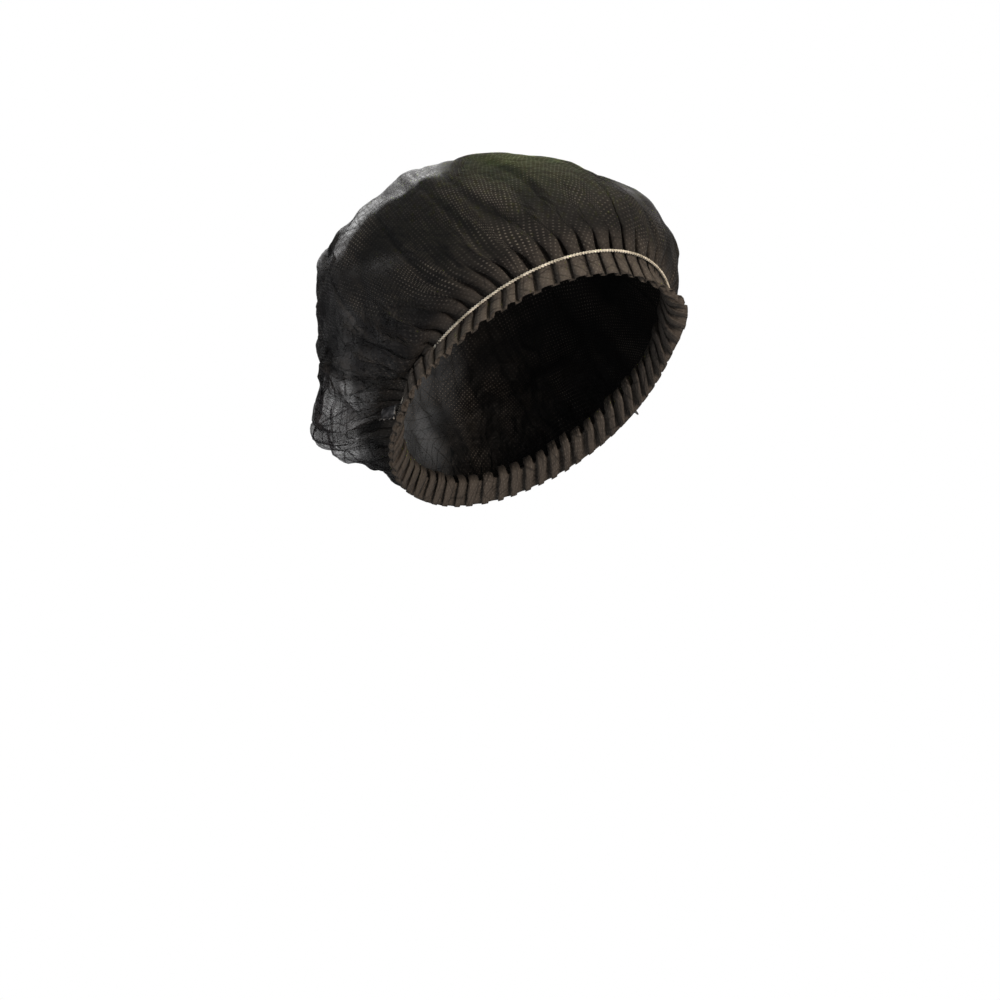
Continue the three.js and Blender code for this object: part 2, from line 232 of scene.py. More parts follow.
gathers = {
    "seed": 11, "pleats": 60,
    # columns of mesh in one pleat: shares of its flat width, which lie in the groove, which bulge on the face
    "flatShares": (0.0, 0.12, 0.24, 0.36, 0.43, 0.50, 0.62, 0.74, 0.86, 0.93),
    "grooved": (0, 0, 0, 0, 0.5, 1, 1, 1, 1, 0.5),
    "bulged": (0, 1, 1, 0, 0, 0, 0, 0, 0, 0),
    "unlike": 0.16, "depthUnlike": (0.75, 1.25),  # how pleats differ in width and in depth
    "short": (0.5, 0.85), "long": (0.9, 1.25), "longOnes": 0.25,  # and in length, with the share of long ones
    "slant": 2.0,  # degrees that pleats turn to the right for each frill's width that they climb
    "slantEnds": (-1, 2),  # frill's widths above the elastic where the slant starts and ends
    # place above the elastic in mm, depth of the grooves, face's share of a pitch, tuck under it,
    # spreading flat, bulge of the faces
    "pleat": ((-14, 2.2, 0.79, 0.10, 0.0, 1.2), (-6, 2.3, 0.79, 0.22, 0.0, 0.8),
              (0, 2.3, 0.78, 0.24, 0.0, 0.0), (4, 4.2, 0.72, 0.16, 0.0, 0.5),
              (9, 4.6, 0.74, 0.08, 0.0, 0.7), (14, 3.8, 0.78, 0.02, 0.0, 0.7),
              (18, 2.0, 0.84, 0.0, 0.0, 0.5), (23, 0.4, 0.90, 0.0, 0.05, 0.2),
              (30, 0.1, 0.92, 0.0, 0.15, 0.0), (60, 0.1, 0.92, 0.0, 0.6, 0.0),
              (110, 0.0, 0.92, 0.0, 1.0, 0.0), (700, 0.0, 0.92, 0.0, 1.0, 0.0)),
    # place above the elastic, depth of fold lines, of broad folds, of broad facets, mm
    "folds": ((-14, 0.0, 0.0, 0.0), (6, 0.0, 0.0, 0.0), (16, 0.4, 0.3, 0.4), (28, 1.2, 0.8, 1.1),
              (44, 1.6, 1.2, 1.6), (70, 1.6, 1.3, 1.9), (100, 1.3, 1.2, 1.8), (140, 0.9, 1.0, 1.3),
              (190, 0.4, 0.5, 0.8), (240, 0.0, 0.0, 0.0)),
    "noiseBelow": 20.0,  # mm below the elastic where the noise round the cap starts
    # fold lines and broad folds: cells of noise round the cap, mm along them, level kept on the smooth cap
    "foldCells": 46, "foldLength": 90.0, "foldLevel": 0.2,
    "broadCells": 15, "broadLength": 100.0, "broadLevel": 0.3,
    "foldWidth": 0.17, "foldShade": 0.6,  # how near zero the noise is in a fold, how dark its painted shade gets for each mm
    "broadCrease": 29.0, "creaseSize": 15.0, "fineCrease": 8.0,  # mm between creases
    "warp": 11.0, "warpSize": 42.0,  # mm that creases wander, and mm over which they do
    # where loose cloth is crumpled: bearing, height, spread round, spread up, depth in mm
    "crumples": ((-120, 26, 28, 22, 4.2), (-128, 62, 34, 24, 3.0), (-126, 104, 34, 26, 2.6),
                 (-80, 114, 32, 24, 2.2), (-98, 40, 20, 24, 4.2), (-88, 22, 16, 13, 3.4),
                 (120, 26, 30, 24, 3.6), (126, 80, 36, 34, 2.0), (180, 30, 36, 30, 3.0),
                 (180, 90, 40, 34, 1.6), (56, 62, 20, 40, 1.4), (-62, 26, 20, 14, 1.2)),
    "crumpleAll": 0.3, "crumpleOver": (4.0, 16.0),  # mm deep all over, mm above the elastic to start and fill
    "crumpleShown": (1.4, 4.6),  # mm deep where creases start to show and are full
    "crushShares": (0.6, 0.4), "broadShare": 0.5,  # of coarse, fine and broad facets in a crumple
    # puffs one above another: bearing, height, spread round, spread up, mm between them, depth in mm
    "puffs": ((-124, 104, 44, 44, 27.0, 4.5), (130, 90, 44, 44, 31.0, 3.5)),
    "puffWander": (9.0, 9, 60.0), "puffLevel": 0.6,  # mm, cells round, mm along; level kept on the smooth cap
    # where cloth bunches over the elastic: bearing, place above it, spread round, spread up, mm outward
    "over": ((-83, 0, 11.5, 8, 6.5),),
    "valleyShade": (0.2, 1.7),  # mm deep where a fold's painted shade starts and is full
    "held": (6.0, 20.0, 0.4),  # mm above the elastic where pressed cloth starts to ease and is free, how much; the frill and this band get painted light
    # where pleats are short: bearing, place above the elastic, spread round, spread up, how much
    "loose": ((-122, 30, 26, 30, 0.6), (122, 30, 26, 30, 0.6), (180, 30, 26, 30, 0.6)),
    # where it stands clear and lets light through: bearing, how far out that way it starts and is full,
    # lowest and highest place over the origin, how near edge-on to the "across" direction it is full and
    # ends (sines), how sheer; these are fixed places on the cloth
    "sheer": ((-121, 36, 60, 54, 150, 0.46, 0.60, 1.0), (-121, 40, 114, -68, 74, 8.0, 9.0, 0.46),
              (-121, 86, 110, -68, 12, 8.0, 9.0, 0.86), (59, 30, 56, 76, 140, 0.36, 0.52, 0.78)),
    "across": (-31.0, 6.0),  # bearing and degrees above level of the photo's viewing direction
    "sheerEdge": 26.0, "sheerOver": (6.0, 20.0),  # mm of fading, mm above the elastic to start and fill
    "ragged": (6.0, 17.0, 0.012),  # mm that its edges wander, mm over which they do, sine for each mm
    "streaks": (110, 70.0, 0.26, 0.32),  # gathers up through it: count, mm long, width, how much less light
    # spots where it lies double: mm across, slant, noise where they are full and end, how much less light
    "doubled": (20.0, 0.4, -0.7, 0.1, 0.3),
    "seeds": {"fold": 3, "broad": 5, "puff": 7, "warpX": 21, "warpY": 23, "crush": 31, "fineCrush": 32,
              "broadFacet": 33, "ragged": 41, "doubled": 43, "streaks": 45},
}


def overTable(table, bearing, height):  # sum of soft patches on the cap
    total = np.zeros_like(bearing)
    for *spot, amount in table:
        total += softSpot(amount, *spot, bearing, height)
    return total


def sheerness(points, out, turn, above, flatX, flatY):  # how far light comes through, from where the cloth is
    g, seeds = gathers, gathers["seeds"]
    side, up = (math.radians(v) for v in g["across"])
    facing = out @ np.array([math.sin(side) * math.cos(up), -math.cos(side) * math.cos(up), math.sin(up)])
    wander, size, sine = g["ragged"]
    ragged = wander * planeNoise(flatX, flatY, size, seeds["ragged"])
    total = np.zeros(len(points))
    for bearing, start, full, low, high, near, far, amount in g["sheer"]:
        side = math.radians(bearing)
        reach = points[:, 0] * math.sin(side) - points[:, 1] * math.cos(side) + ragged
        inside = np.minimum(points[:, 2] - low, high - points[:, 2]) + ragged
        band = 1 - smooth(np.abs(facing) - sine * ragged, near, far)
        share = smooth(reach, start, full) * smooth(inside, 0, g["sheerEdge"]) * band
        total = np.maximum(total, amount * np.sqrt(share))
    cells, length, width, darker = g["streaks"]
    streaks = ringNoise(turn, above + g["noiseBelow"], cells, length, seeds["streaks"])
    total *= 1 - darker * bell(streaks, width)
    size, slant, low, high, less = g["doubled"]
    doubled = smooth(-planeNoise(flatX + slant * flatY, flatY, size, seeds["doubled"]), -high, -low)
    return total * (1 - less * doubled)


def sheetRows():  # every ring of the mesh: how far from the free edge, and how many columns
    full = gathers["pleats"] * len(gathers["flatShares"])
    rows, at = [], 0.0
    while at < cap["flatRadius"] - cap["topFan"]:
        halvings = int(min(math.log2(cap["flatRadius"] / (cap["flatRadius"] - at)), cap["halvings"]))
        rows.append((at, full >> halvings))
        at += cap["rowStep"]
    return rows


def pleatAcross(face, tuck):  # where the columns of one pleat lie, as shares of its pitch
    inner = 1 - face + 2 * tuck
    rows = (0 * face, face / 3, face * 2 / 3, face, face - tuck / 2, face - tuck,
            face - tuck + inner / 3, face - tuck + inner * 2 / 3, 1 + tuck, 1 + tuck / 2)
    return np.stack(rows, axis=-1)


def clothPush(turn, above, flatX, flatY, bearing, height):
    # mm along the normal for folds, facets and crumples, then crease coordinates, crumpling and the painted
    # shade of folds
    g, seeds = gathers, gathers["seeds"]
    table = np.array(g["folds"], float)
    lineDepth, broadDepth, facetDepth = throughRows(table[:, 0], table[:, 1:], above).T
    along = above + g["noiseBelow"]
    fold = bell(ringNoise(turn, along, g["foldCells"], g["foldLength"], seeds["fold"]), g["foldWidth"])
    waves = ringNoise(turn, along, g["broadCells"], g["broadLength"], seeds["broad"])
    warpX = flatX + g["warp"] * planeNoise(flatX, flatY, g["warpSize"], seeds["warpX"])
    warpY = flatY + g["warp"] * planeNoise(flatX, flatY, g["warpSize"], seeds["warpY"])
    a, b = creaseGrid(warpX, warpY, g["creaseSize"])
    coarse = facets(a, b, seeds["crush"])
    fine = facets(*creaseGrid(warpY, warpX, g["fineCrease"]), seeds["fineCrush"])
    broad = facets(*creaseGrid(warpY, warpX, g["broadCrease"]), seeds["broadFacet"])
    crumple = smooth(above, *g["crumpleOver"]) * (g["crumpleAll"] + overTable(g["crumples"], bearing, height))
    crushed = g["crushShares"][0] * coarse + g["crushShares"][1] * fine
    push = lineDepth * (g["foldLevel"] - fold) + broadDepth * (np.abs(waves) - g["broadLevel"])
    push = push + (facetDepth + g["broadShare"] * crumple) * broad + crumple * crushed
    wander, cells, length = g["puffWander"]
    climb = above + wander * ringNoise(turn, along, cells, length, seeds["puff"])
    for *spot, pitch, depth in g["puffs"]:
        share = softSpot(1.0, *spot, bearing, height)
        push += depth * share * (np.abs(np.sin(math.pi * climb / pitch)) - g["puffLevel"])
    # painted shade: dark where the cloth dips and along the fold lines
    shade = np.maximum(smooth(-push, *g["valleyShade"]), np.clip(g["foldShade"] * lineDepth, 0, 1) * fold)
    return push, np.stack([a, b], axis=-1), smooth(crumple, *g["crumpleShown"]), shade


def drawPleats():  # every pleat's pitch and start as shares of the ring, its length, and its columns' depths
    g, rng = gathers, np.random.default_rng(gathers["seed"])
    count = g["pleats"]
    pitch = 1 + g["unlike"] * rng.uniform(-1, 1, count)
    pitch /= pitch.sum()
    deep = (rng.uniform(*g["depthUnlike"], count)[:, None] * np.array(g["grooved"])).ravel()
    isLong = rng.uniform(0, 1, count) < g["longOnes"]
    length = np.where(isLong, rng.uniform(*g["long"], count), rng.uniform(*g["short"], count))
    return pitch, np.cumsum(pitch) - pitch, length, deep


def clothFacing(at, values, bearing):  # the smooth cap's outward direction, so far along the cloth
    turn, step = cap["turnStep"], cap["slopeStep"]
    along = ringLine(values, bearing + turn) - ringLine(values, bearing - turn)
    low, high = (ringLine(throughRows(places, rings, np.full(len(bearing), end)), bearing)
                 for end in (max(at - step, 0), min(at + step, cap["flatRadius"])))
    out = np.cross(along, high - low)
    return out / (np.linalg.norm(out, axis=1, keepdims=True) + 1e-9)


def sheetPoints():  # the mesh's points worn and on the flat blank, their crease coordinates and their marks
    g = gathers
    count, columnsEach = g["pleats"], len(g["flatShares"])
    pitch, starts, length, deep = drawPleats()
    flatTurn = (starts[:, None] + pitch[:, None] * np.array(g["flatShares"])).ravel() * fullTurn
    bulged = np.tile(g["bulged"], count)
    table = np.array(g["pleat"], float)
    worn, flat, crease, marks = [], [], [], []
    for at, columns in sheetRows():
        step = len(flatTurn) // columns
        above = at - frillWidth
        climb = above / length if above > 0 else np.full(count, above)
        climb = climb * (1 + overTable(g["loose"], starts * fullTurn, np.full(count, above)))
        depth, face, tuck, spread, bulge = throughRows(table[:, 0], table[:, 1:], climb).T
        folded = (starts[:, None] + pitch[:, None] * pleatAcross(face, tuck)).ravel() * fullTurn
        spread = np.repeat(spread, columnsEach)
        around = (flatTurn * spread + folded * (1 - spread))[::step]
        turn, aboves = flatTurn[::step], np.full(columns, above)
        slanted = math.radians(g["slant"]) * np.clip(above / frillWidth, *g["slantEnds"])
        bearing = loopBearings(around) - slanted
        values = throughRows(places, rings, np.full(columns, at))
        out = clothFacing(at, values, bearing)
        radius = cap["flatRadius"] - at
        flatX, flatY = radius * np.sin(turn), -radius * np.cos(turn)
        push, lines, crumpled, valleyShade = clothPush(turn, aboves, flatX, flatY, bearing, values[:, 0])
        push -= (np.repeat(depth, columnsEach) * deep - np.repeat(bulge, columnsEach) * bulged)[::step]
        push += overTable(g["over"], bearing, aboves)
        points = ringLine(values, bearing) + out * push[:, None]
        sheer = sheerness(points, out, turn, aboves, flatX, flatY) * smooth(above, *g["sheerOver"])
        eases, free, most = g["held"]
        held = np.where(aboves < 0, 1.0, most * (1 - smooth(aboves, eases, free)))
        worn.append(points)
        flat.append(np.stack([flatX, flatY], axis=-1))
        crease.append(lines)
        marks.append(np.stack([sheer, crumpled, valleyShade, held], axis=-1))
    worn.append(ringLine(rings[-1:], np.zeros(1)))
    flat.append(np.zeros((1, 2)))
    crease.append(np.zeros((1, 2)))
    marks.append(marks[-1][:1])
    worn, flat, crease, marks = (np.concatenate(part) for part in (worn, flat, crease, marks))
    return worn * mm, flat * mm, crease, marks


def sheetFaces():
    faces, start = [], 0
    counts = [columns for _, columns in sheetRows()]
    for low, high in zip(counts, counts[1:]):
        up = start + low
        for i in range(high):
            j = (i + 1) % high
            if low == high:
                faces.append((start + i, start + j, up + j, up + i))
            else:
                a, b, c = start + 2 * i, start + 2 * i + 1, start + 2 * j
                faces += [(a, b, up + i), (b, c, up + j), (b, up + j, up + i)]
        start = up
    top = start + counts[-1]
    faces += [(start + i, start + (i + 1) % counts[-1], top) for i in range(counts[-1])]
    return faces


def makeSheet():
    worn, flat, crease, marks = sheetPoints()
    mesh = bpy.data.meshes.new("capSheet")
    mesh.from_pydata(worn.tolist(), [], sheetFaces())
    mesh.update()
    corner = np.empty(len(mesh.loops), np.int32)
    mesh.loops.foreach_get("vertex_index", corner)
    blank = mesh.uv_layers.new(name="blank")  # the flat blank, so that the bond points follow the cloth
    across = flat / (2 * cap["flatRadius"] * mm) + 0.5
    blank.data.foreach_set("uv", across[corner].astype(np.float32).ravel())
    lines = mesh.uv_layers.new(name="creases")
    lines.data.foreach_set("uv", crease[corner].astype(np.float32).ravel())
    for name, values in zip(("sheer", "crush", "valleyShade", "held"), marks.T):
        mesh.attributes.new(name, "FLOAT", "POINT").data.foreach_set("value", values.astype(np.float32))
    piece = bpy.data.objects.new("capSheet", mesh)
    bpy.context.collection.objects.link(piece)
    return piece


sheet = makeSheet()
print("sheet gathered:", len(sheet.data.vertices), "points, frill", round(frillWidth, 1), "mm")


def thickenSheet(piece):
    bpy.ops.object.select_all(action="DESELECT")
    piece.select_set(True)
    bpy.context.view_layer.objects.active = piece
    bpy.ops.object.modifier_add(type="SOLIDIFY")
    wall = piece.modifiers[-1]
    wall.thickness = cap["thickness"] * mm
    wall.offset = 0.0
    bpy.ops.object.modifier_apply(modifier=wall.name)
    bpy.ops.object.shade_smooth()


thickenSheet(sheet)


spunbond = {
    "bondPitch": 2.35, "bondSize": 0.88, "bondSlant": 45.0,  # mm between bond points, mm across one, degrees
    "bondEdge": (1.3, 0.6),  # half sizes from its middle where a bond point starts and is full
    # mm and detail of each unevenness; the fibres are drawn coarser than they are, so that they show
    "fibre": (0.7, 2.0), "cloud": (24.0, 3.0), "patch": (38.0, 3.0), "smoke": (60.0, 3.0),
    "sway": (34.0, 1.0), "swayBy": 2.5,  # the wandering of the rows of bond points, and mm that they go
    # values of the noise between which each comes in
    "fibreBand": (0.44, 0.6), "cloudBand": (0.44, 0.6), "patchBand": (0.42, 0.58), "smokeBand": (0.38, 0.6),
    "creaseWidth": 1.2, "creaseFade": (0.1, 1.6),  # mm, and times that, where a crease is gone and is full
    "creaseEdge": (1.0, 0.15),  # half widths from its middle where a crease starts and is full
    "crumpleSizes": (13.0, 6.0), "crumpleSlope": 0.6,  # mm, rise for each mm
    "crumpleBend": (1.6, 0.6), "crumpleLeast": 0.14,  # sizes over which edges bend, how far, share all over
    "spotLeast": 0.2, "spotSmoke": 0.7, "spotHeld": 0.55, "spotFold": 0.85,  # how far bond points show
    # creaseShade: how much painted shade darkens the creases; litPower: power on the sheerness for the
    # painted light of the sheer places
    "creaseShade": 0.5, "litPower": 2.0,
    "dense": 0.98, "thin": (0.09, 0.24),  # cover of one face of the cloth, close and sheer
    "bondCover": 0.32, "creaseCover": (0.16, 0.42), "foldCover": 0.15,  # added to the sheer cover
    "fibreRelief": 0.25, "bondRelief": -0.6, "reliefDepth": 0.15, "reliefStrength": 0.35,  # depth in mm
    "roughness": (0.72, 0.45),  # of the web and of the bond points
    "ior": 1.49, "specular": 0.14, "sheen": 0.01, "sheenRoughness": 0.5,
    # black and grey are the cloth's own uneven tone; pressed is painted light on the frill and just over the
    # elastic; bond is the bond points' lighter pattern with a painted shine; fold is painted shade; lit is
    # painted light in the sheer places
    "black": "#0d0c0c", "grey": "#191715", "pressed": "#423d38",
    "bond": "#58534d", "fold": "#070707", "lit": "#474548",
}


def spunbondMaterial(s=spunbond):
    # Polypropylene fibres laid at random and pressed together at hot points: the points are smooth
    # and catch the light, and the web between them is matt, uneven and a little see-through.
    material, tree, shader = newMaterial("spunbondPolypropylene")
    span, plane = 2 * cap["flatRadius"], {"noise_dimensions": "2D"}
    blank = put(tree, "UVMap", uv_map="blank")
    sheer, crush, valleyShade, held = (put(tree, "Attribute", attribute_name=name).outputs["Fac"]
                                  for name in ("sheer", "crush", "valleyShade", "held"))
    fibre, cloud, patch, smoke, sway = (
        put(tree, "TexNoise", {"Vector": blank, "Scale": span / s[name][0], "Detail": s[name][1]}, **plane)
        for name in ("fibre", "cloud", "patch", "smoke", "sway"))
    smoke = put(tree, "MapRange", {"Value": smoke, "From Min": s["smokeBand"][0],
                                   "From Max": s["smokeBand"][1]})
    # bond points in slanted rows that wander with the cloth
    drawn = put(tree, "VectorMath", {0: sway.outputs["Color"], 1: (s["swayBy"] / span,) * 3, 2: blank},
                operation="MULTIPLY_ADD")
    turned = put(tree, "Mapping", {"Vector": drawn, "Rotation": (0, 0, math.radians(s["bondSlant"]))})
    rows = put(tree, "TexVoronoi", {"Vector": turned, "Scale": span / s["bondPitch"], "Randomness": 0.0},
               voronoi_dimensions="2D", feature="F1")
    half = s["bondSize"] / 2 / s["bondPitch"]
    bond = put(tree, "MapRange", {"Value": rows, "From Min": half * s["bondEdge"][0],
                                  "From Max": half * s["bondEdge"][1]})
    # creases: lines where a slanted coordinate is whole, or the sum of both is whole or a half, each set
    # of them coming and going by itself
    slants = put(tree, "SeparateXYZ", {"Vector": put(tree, "UVMap", uv_map="creases")})
    third = put(tree, "Math", {0: slants.outputs["X"], 1: slants.outputs["Y"]}, operation="ADD")
    fade = put(tree, "SeparateColor", {"Color": cloud.outputs["Color"]})
    width, crease = s["creaseWidth"] / 2 / gathers["creaseSize"], 0.0
    creaseSets = ((slants.outputs["X"], 1.0), (slants.outputs["Y"], 1.0), (third, 0.5))
    for k, (slant, apart) in enumerate(creaseSets):
        near = put(tree, "Math", {0: slant, 1: apart / 2}, operation="PINGPONG")
        reach = put(tree, "MapRange", {
            "Value": fade.outputs[k], "From Min": s["cloudBand"][0], "From Max": s["cloudBand"][1],
            "To Min": s["creaseFade"][0] * width, "To Max": s["creaseFade"][1] * width})
        near = put(tree, "Math", {0: near, 1: reach}, operation="DIVIDE")
        line = put(tree, "MapRange", {"Value": near, "From Min": s["creaseEdge"][0],
                                      "From Max": s["creaseEdge"][1]})
        crease = put(tree, "Math", {0: crease, 1: line}, operation="MAXIMUM")
    # colour: bond points show in patches and where the elastic presses the cloth; folds and creases get
    # painted shade, which also hides the bond points in them
    spots = put(tree, "MapRange", {"Value": patch, "From Min": s["patchBand"][0],
                                   "From Max": s["patchBand"][1], "To Min": s["spotLeast"]})
    hazy = put(tree, "Math", {0: smoke, 1: s["spotSmoke"], 2: 1 - s["spotSmoke"]}, operation="MULTIPLY_ADD")
    spots = put(tree, "Math", {0: spots, 1: hazy}, operation="MULTIPLY")
    squeezed = put(tree, "Math", {0: held, 1: s["spotHeld"]}, operation="MULTIPLY")
    spots = put(tree, "Math", {0: spots, 1: squeezed}, operation="MAXIMUM")
    # bond points fade where the painted fold shade falls
    outOfFoldShade = put(tree, "Math", {0: valleyShade, 1: -s["spotFold"], 2: 1.0}, operation="MULTIPLY_ADD")
    spots = put(tree, "Math", {0: spots, 1: outOfFoldShade}, operation="MULTIPLY")
    # the bond points' own lighter pattern, with a painted shine on them
    shine = put(tree, "Math", {0: bond, 1: spots}, operation="MULTIPLY")
    # painted light: the sheer places are coloured lighter, towards the lit colour, as if light came through
    # them
    clear = put(tree, "Math", {0: sheer, 1: s["litPower"]}, operation="POWER")
    # painted shade: the crease lines are darkened towards the fold colour
    paintedCreaseShade = put(tree, "Math", {0: crease, 1: s["creaseShade"]}, operation="MULTIPLY")
    colour = linear(s["black"])
    # held mixes in the pressed colour: painted light on the frill and on the cloth just over the elastic
    for share, name in ((smoke, "grey"), (held, "pressed"), (valleyShade, "fold"), (clear, "lit"), (shine, "bond"),
                        (paintedCreaseShade, "fold")):
        colour = put(tree, "MixRGB", {"Fac": share, "Color1": colour, "Color2": linear(s[name])})
    tree.links.new(colour.outputs["Color"], shader.inputs["Base Color"])
    gloss = put(tree, "MapRange", {"Value": bond, "To Min": s["roughness"][0], "To Max": s["roughness"][1]})
    tree.links.new(gloss.outputs["Result"], shader.inputs["Roughness"])
    # cover: close in most places, and in the sheer ones only fibres, bond points, creases and folds
    web = put(tree, "MapRange", {"Value": fibre, "From Min": s["fibreBand"][0], "From Max": s["fibreBand"][1],
                                 "To Min": s["thin"][0], "To Max": s["thin"][1]})
    web = put(tree, "Math", {0: bond, 1: s["bondCover"], 2: web}, operation="MULTIPLY_ADD")
    deeper = put(tree, "MapRange", {"Value": crush, "To Min": s["creaseCover"][0],
                                    "To Max": s["creaseCover"][1]})
    web = put(tree, "Math", {0: crease, 1: deeper, 2: web}, operation="MULTIPLY_ADD")
    web = put(tree, "Math", {0: valleyShade, 1: s["foldCover"], 2: web}, operation="MULTIPLY_ADD", use_clamp=True)
    thinner = put(tree, "Math", {0: web, 1: s["dense"]}, operation="SUBTRACT")
    cover = put(tree, "Math", {0: sheer, 1: thinner, 2: s["dense"]}, operation="MULTIPLY_ADD")
    tree.links.new(cover.outputs[0], shader.inputs["Alpha"])
    # relief: crumples, then bond points and fibres
    normal, (bendOver, bendBy) = None, s["crumpleBend"]
    amount = put(tree, "MapRange", {"Value": crush, "To Min": s["crumpleLeast"], "To Max": 1.0})
    for size in s["crumpleSizes"]:
        bent = put(tree, "TexNoise", {"Vector": blank, "Scale": span / size / bendOver, "Detail": 1.0},
                   **plane)
        place = put(tree, "VectorMath", {0: bent.outputs["Color"], 1: (size / span * bendBy,) * 3, 2: blank},
                    operation="MULTIPLY_ADD")
        roof = put(tree, "TexVoronoi", {"Vector": place, "Scale": span / size}, voronoi_dimensions="2D",
                   feature="DISTANCE_TO_EDGE")
        height = put(tree, "Math", {0: roof, 1: amount}, operation="MULTIPLY")
        normal = put(tree, "Bump", {"Height": height, "Strength": 1.0, "Normal": normal,
                                    "Distance": s["crumpleSlope"] * size * mm})
    relief = put(tree, "Math", {0: fibre, 1: s["fibreRelief"]}, operation="MULTIPLY")
    relief = put(tree, "Math", {0: bond, 1: s["bondRelief"], 2: relief}, operation="MULTIPLY_ADD")
    fine = put(tree, "Bump", {"Height": relief, "Strength": s["reliefStrength"], "Normal": normal,
                              "Distance": s["reliefDepth"] * mm})
    tree.links.new(fine.outputs["Normal"], shader.inputs["Normal"])
    shader.inputs["IOR"].default_value = s["ior"]
    shader.inputs["Specular IOR Level"].default_value = s["specular"]
    shader.inputs["Sheen Weight"].default_value = s["sheen"]
    shader.inputs["Sheen Roughness"].default_value = s["sheenRoughness"]
    return material


sheet.data.materials.append(spunbondMaterial())
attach(sheet, "root")
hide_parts("crown")
print("sheet dressed")


# the elastic: two lengths of twisted cream cord that meet under the tabs

elastic = {
    "tabBearing": 102.0, "pathPoints": 160,  # degrees from the front where the two lengths meet
    "wide": 1.65, "narrow": 0.85, "sides": 10,  # mm across the two plies, and through them
    "lay": 3.4, "stepsInLay": 12,  # mm for one turn of the plies
    "gap": 0.3,  # mm between the two lengths
    "yarn": (0.7, 3.0), "soil": (9.0, 2.0), "ridges": 2.0,  # mm and detail, how far the plies' ridges count towards painted light
    "lightBand": (1.85, 2.3),  # sums of these three, from shade to light
    "fuzz": 0.35, "fuzzStrength": 0.9,  # mm
    "roughness": 0.85, "sheen": 0.2,
    "light": "#cfc9ba", "shade": "#6f6959",
}


def loopPath(name, start, end):  # part of the elastic's loop as a curve, from bearing to bearing
    half, reach = cap["loop"]
    turn = np.radians(np.linspace(start, end, elastic["pathPoints"]))
    points = leanBack(half * np.sin(turn), -reach * np.cos(turn), 0 * turn) * mm
    curve = bpy.data.curves.new(name, "CURVE")
    curve.dimensions = "3D"
    line = curve.splines.new("POLY")
    line.points.add(len(points) - 1)
    for point, place in zip(line.points, points):
        point.co = (*place, 1.0)
    path = bpy.data.objects.new(name, curve)
    bpy.context.collection.objects.link(path)
    return path, float(np.linalg.norm(np.diff(points, axis=0), axis=1).sum())


def makeElastic(name, start, end, e=elastic):
    path, length = loopPath(name + "Path", start, end)
    length -= e["gap"] * mm
    bpy.ops.object.select_all(action="DESELECT")
    bpy.ops.mesh.primitive_circle_add(vertices=e["sides"], radius=e["wide"] / 2 * mm, location=(0, 0, 0))
    strand = bpy.context.object
    strand.name = name
    bpy.ops.object.mode_set(mode="EDIT")
    bpy.ops.mesh.select_all(action="SELECT")
    bpy.ops.transform.resize(value=(1, e["narrow"] / e["wide"], 1))
    bpy.ops.object.mode_set(mode="OBJECT")
    turns = round(length / (e["lay"] * mm))
    bpy.ops.object.modifier_add(type="SCREW")
    twist = strand.modifiers[-1]
    twist.axis, twist.screw_offset, twist.angle = "Z", length, turns * fullTurn
    twist.steps = twist.render_steps = turns * e["stepsInLay"]
    twist.use_merge_vertices = False
    bpy.ops.object.modifier_apply(modifier=twist.name)
    bpy.ops.object.modifier_add(type="CURVE")
    bend = strand.modifiers[-1]
    bend.object, bend.deform_axis = path, "POS_Z"
    bpy.ops.object.modifier_apply(modifier=bend.name)
    bpy.ops.object.mode_set(mode="EDIT")
    bpy.ops.mesh.select_all(action="SELECT")
    bpy.ops.mesh.fill_holes(sides=0)
    bpy.ops.mesh.select_all(action="SELECT")
    bpy.ops.mesh.normals_make_consistent(inside=False)
    bpy.ops.object.mode_set(mode="OBJECT")
    bpy.ops.object.shade_smooth()
    bpy.data.objects.remove(path)
    return strand


def elasticMaterial(e=elastic):
    # Rubber threads wound in loose textured yarn: matt, cream, fuzzy, with painted shade down between the
    # plies and painted light on their ridges.
    material, tree, shader = newMaterial("coveredElastic")
    place = put(tree, "TexCoord").outputs["Object"]
    yarn, soil = (put(tree, "TexNoise", {"Vector": place, "Scale": 1 / (size * mm), "Detail": detail})
                  for size, detail in (e["yarn"], e["soil"]))
    # painted light and shade: the pointed ridges of the plies lighter, the flat sides and grooves darker
    ply = put(tree, "NewGeometry").outputs["Pointiness"]
    both = put(tree, "Math", {0: yarn, 1: soil}, operation="ADD")
    both = put(tree, "Math", {0: ply, 1: e["ridges"], 2: both}, operation="MULTIPLY_ADD")
    share = put(tree, "MapRange", {"Value": both, "From Min": e["lightBand"][0],
                                   "From Max": e["lightBand"][1]})
    colour = put(tree, "MixRGB", {"Fac": share, "Color1": linear(e["shade"]), "Color2": linear(e["light"])})
    tree.links.new(colour.outputs["Color"], shader.inputs["Base Color"])
    bump = put(tree, "Bump", {"Height": yarn, "Strength": e["fuzzStrength"], "Distance": e["fuzz"] * mm})
    tree.links.new(bump.outputs["Normal"], shader.inputs["Normal"])
    shader.inputs["Roughness"].default_value = e["roughness"]
    shader.inputs["Sheen Weight"].default_value = e["sheen"]
    return material


cordMaterial, meeting = elasticMaterial(), elastic["tabBearing"]
for node, start, end in (("elastic_front", -meeting, meeting), ("elastic_back", meeting, 360 - meeting)):
    strand = makeElastic(node.replace("elastic_", "elasticCord_"), start, end)
    strand.data.materials.append(cordMaterial)
    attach(strand, "root")
    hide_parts(node)
print("elastic wound")


# the tabs: the sheet's two welded ends, pressed flat and cut with a pinked edge

